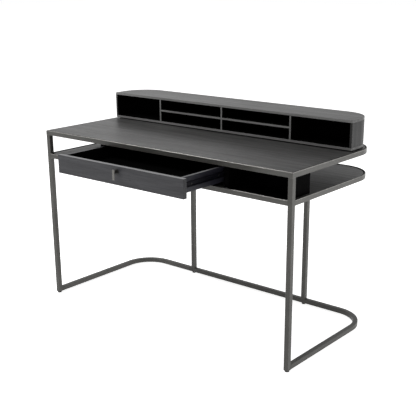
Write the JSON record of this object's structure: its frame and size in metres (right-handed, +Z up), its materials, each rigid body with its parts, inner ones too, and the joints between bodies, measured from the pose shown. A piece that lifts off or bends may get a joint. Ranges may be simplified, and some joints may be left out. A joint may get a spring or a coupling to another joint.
{
  "type": "writing desk",
  "caption": "Steel-framed writing desk with rounded rear corners, an open shelf with a central drawer and small cubby, and a low compartment organiser on its top.",
  "frame": {"origin": "on the floor, in the middle of the bounding box with the drawer where it stands, partly open", "axes": "+X to the right along the front, +Y to the back, +Z up"},
  "size_m": [1.3, 0.854, 0.883],
  "materials": {
    "steel_frame": "satin bronze-grey lacquer",
    "veneer": "charcoal stained oak veneer, satin",
    "lining": "black stained board, matt",
    "zinc": "zinc plated",
    "plastic": "matt black"
  },
  "bodies": {
    "desk": {"base_rail": "steel_frame", "front_leg_left": "steel_frame", "front_leg_right": "steel_frame", "rear_leg_left": "steel_frame", "rear_leg_right": "steel_frame", "leg_plugs": "plastic", "floor_glides": "plastic", "top_frame": "steel_frame", "shelf_frame": "steel_frame", "desktop_panel": "veneer", "shelf_panel": "veneer", "desktop_screws": "zinc", "shelf_screws": "zinc", "bay_side_left": "lining", "bay_side_right": "lining", "bay_back": "lining", "cubby_side": "lining", "cubby_back": "lining", "runner_fixed_left": "zinc", "runner_fixed_right": "zinc", "runner_screws_fixed": "zinc", "organiser_plinth": "lining", "organiser_bottom": "veneer", "organiser_wall": "veneer", "organiser_top": "veneer", "divider_left": "veneer", "divider_centre": "veneer", "divider_right": "veneer", "mid_shelf_left": "veneer", "mid_shelf_right": "veneer", "organiser_screws": "zinc"},
    "drawer": {"drawer_front": "veneer", "drawer_side_left": "lining", "drawer_side_right": "lining", "drawer_back": "lining", "drawer_bottom": "lining", "runner_moving_left": "zinc", "runner_moving_right": "zinc", "runner_screws_moving": "zinc", "pull_rosette": "steel_frame", "pull_stem": "steel_frame", "pull_tab": "steel_frame", "pull_bolt": "zinc"},
    "ball_cages": {"ball_cage_left": "zinc", "ball_cage_right": "zinc"}
  },
  "joints": [
    {"name": "drawer_slide", "type": "slide", "parent": "desk", "child": "drawer", "axis": [0, -1, 0], "range_m": [-0.22, 0.08]},
    {"name": "ball_cage_slide", "type": "slide", "parent": "desk", "child": "ball_cages", "axis": [0, -1, 0], "range_m": [-0.11, 0.04]}
  ],
  "couplings": [
    {"joint": "ball_cage_slide", "follows": "drawer_slide", "ratio": 0.5}
  ]
}
